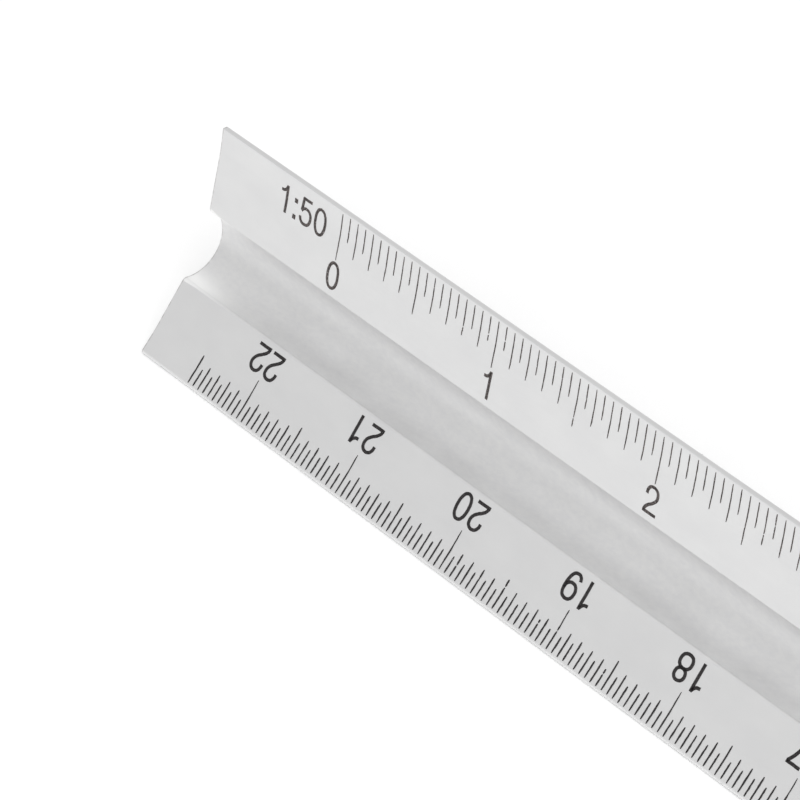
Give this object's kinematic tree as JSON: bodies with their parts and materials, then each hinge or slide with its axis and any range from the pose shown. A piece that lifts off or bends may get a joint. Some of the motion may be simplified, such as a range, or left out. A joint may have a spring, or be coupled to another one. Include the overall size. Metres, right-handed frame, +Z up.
{
  "type": "triangular scale ruler",
  "caption": "Three-sided metal scale ruler, solid and grooved, with a metric reduction scale printed along each facet.",
  "frame": {"origin": "on the table, below the middle of the bar, which rests on two of its edges", "axes": "+X along the bar, the way its front upper scale reads; +Z up, to the third edge; -Y to the side that carries the 1:50 and 1:75 scales"},
  "size_m": [0.3226, 0.0208, 0.0179],
  "materials": {
    "anodised_aluminium": "satin clear anodised, fine lines along the extrusion",
    "printed_ink": "thin matt black printed film"
  },
  "bodies": {
    "root": {"extruded_bar": "anodised_aluminium", "scale_20_fine_marks": "printed_ink", "scale_20_long_marks": "printed_ink", "scale_20_numerals": "printed_ink", "scale_20_ratio_label": "printed_ink", "scale_25_fine_marks": "printed_ink", "scale_25_long_marks": "printed_ink", "scale_25_numerals": "printed_ink", "scale_25_ratio_label": "printed_ink", "scale_50_fine_marks": "printed_ink", "scale_50_long_marks": "printed_ink", "scale_50_numerals": "printed_ink", "scale_50_ratio_label": "printed_ink", "scale_75_fine_marks": "printed_ink", "scale_75_long_marks": "printed_ink", "scale_75_numerals": "printed_ink", "scale_75_ratio_label": "printed_ink", "scale_100_fine_marks": "printed_ink", "scale_100_long_marks": "printed_ink", "scale_100_numerals": "printed_ink", "scale_100_ratio_label": "printed_ink", "scale_125_fine_marks": "printed_ink", "scale_125_long_marks": "printed_ink", "scale_125_numerals": "printed_ink", "scale_125_ratio_label": "printed_ink"}
  },
  "joints": []
}
